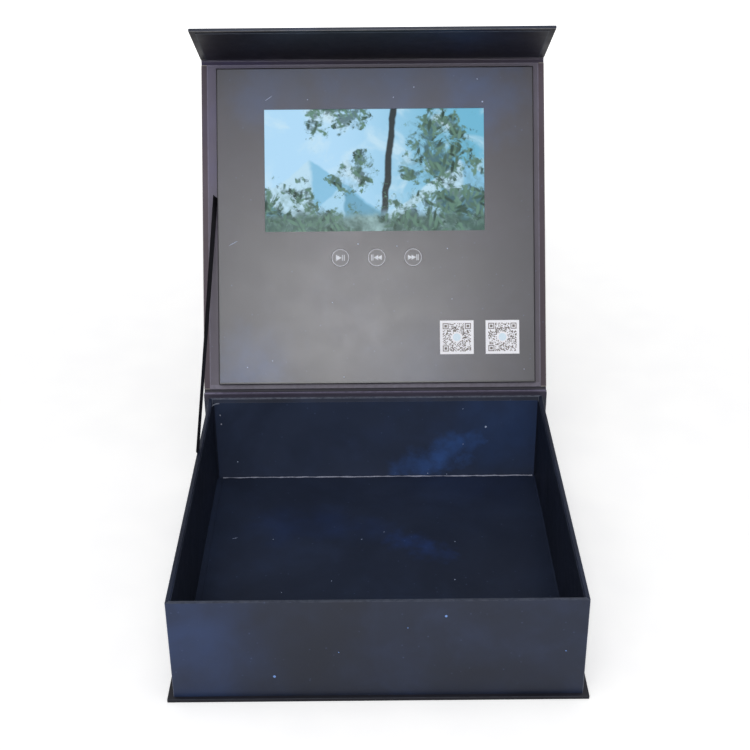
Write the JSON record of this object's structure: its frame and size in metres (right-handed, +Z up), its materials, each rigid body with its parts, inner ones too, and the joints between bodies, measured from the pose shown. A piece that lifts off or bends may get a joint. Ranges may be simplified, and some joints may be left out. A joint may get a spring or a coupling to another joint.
{
  "type": "video gift box",
  "caption": "Rigid book-style gift box with an open tray, a magnetic front flap and a hinged lid whose raised panel holds a flat video screen, push buttons and a charging port.",
  "frame": {"origin": "on the surface that the box stands on, under the middle of the tray", "axes": "+X to the right seen from the front, +Y to the back where the lid is hinged, +Z up"},
  "size_m": [0.242, 0.3501, 0.3154],
  "materials": {
    "outer_print": "satin",
    "inner_print": "satin",
    "flap_print": "satin",
    "tray_print": "satin",
    "panel_print": "satin",
    "greyboard": "matte",
    "spacer_board": "matte",
    "button_print": "satin",
    "ribbon": "satin",
    "magnet": "polished",
    "screen_glass": "gloss",
    "backlight": "matte",
    "sheet_metal": "satin",
    "foam_tape": "matte",
    "circuit_board": "satin",
    "chip": "matte",
    "connector": "matte",
    "switch": "satin",
    "switch_stem": "matte",
    "flat_cable": "gloss",
    "battery": "satin",
    "red_lead": "gloss",
    "black_lead": "gloss",
    "speaker": "satin"
  },
  "bodies": {
    "box": {"base_board": "greyboard", "base_wrap": "outer_print", "spine_board": "greyboard", "spine_wrap": "outer_print", "tray_floor_board": "greyboard", "tray_front_board": "greyboard", "tray_back_board": "greyboard", "tray_left_board": "greyboard", "tray_right_board": "greyboard", "tray_wrap": "outer_print", "tray_liner": "tray_print", "tray_magnets": "magnet", "ribbon_stay": "ribbon", "lid_hinge_paper": "outer_print", "lid_hinge_liner": "inner_print"},
    "lid": {"lid_board": "greyboard", "lid_wrap": "outer_print", "lid_liner": "inner_print", "panel_top_spacer": "spacer_board", "panel_bottom_spacer": "spacer_board", "panel_left_spacer": "spacer_board", "panel_right_spacer": "spacer_board", "panel_face_board": "greyboard", "panel_face_wrap": "panel_print", "screen_frame": "sheet_metal", "screen_backlight": "backlight", "screen_glass": "screen_glass", "screen_gasket": "foam_tape", "switch_housings": "switch", "button_board": "circuit_board", "main_board": "circuit_board", "processor_chip": "chip", "memory_chip": "chip", "power_coil": "chip", "screen_connector": "connector", "battery_socket": "connector", "small_parts": "chip", "usb_socket": "sheet_metal", "usb_tongue": "connector", "battery": "battery", "battery_lead_red": "red_lead", "battery_lead_black": "black_lead", "speaker": "speaker", "speaker_leads": "black_lead", "screen_flex": "flat_cable", "button_cable": "flat_cable", "mounting_tapes": "foam_tape", "flap_hinge_paper": "outer_print", "flap_hinge_liner": "inner_print"},
    "flap": {"flap_board": "greyboard", "flap_magnets": "magnet", "flap_wrap": "outer_print", "flap_liner": "flap_print"},
    "play_key": {"play_button": "button_print", "play_switch_stem": "switch_stem"},
    "previous_key": {"previous_button": "button_print", "previous_switch_stem": "switch_stem"},
    "next_key": {"next_button": "button_print", "next_switch_stem": "switch_stem"}
  },
  "joints": [
    {"name": "lid_hinge", "type": "hinge", "parent": "box", "child": "lid", "pos_m": [0, 0.11865, 0.0689], "axis": [1, 0, 0], "range_deg": [0, 117.34], "deforming": ["ribbon_stay", "lid_hinge_paper", "lid_hinge_liner"]},
    {"name": "flap_hinge", "type": "hinge", "parent": "lid", "child": "flap", "pos_m": [0, 0.22771, 0.27898], "axis": [1, 0, 0], "range_deg": [-86.22, 3.78], "deforming": ["flap_hinge_paper", "flap_hinge_liner"]},
    {"name": "play_press", "type": "slide", "parent": "lid", "child": "play_key", "axis": [0, 0.8883, -0.4593], "range_m": [0, 0.0003], "stiffness_N_per_m": 3000, "springref_m": -0.0001},
    {"name": "previous_press", "type": "slide", "parent": "lid", "child": "previous_key", "axis": [0, 0.8883, -0.4593], "range_m": [0, 0.0003], "stiffness_N_per_m": 3000, "springref_m": -0.0001},
    {"name": "next_press", "type": "slide", "parent": "lid", "child": "next_key", "axis": [0, 0.8883, -0.4593], "range_m": [0, 0.0003], "stiffness_N_per_m": 3000, "springref_m": -0.0001}
  ]
}
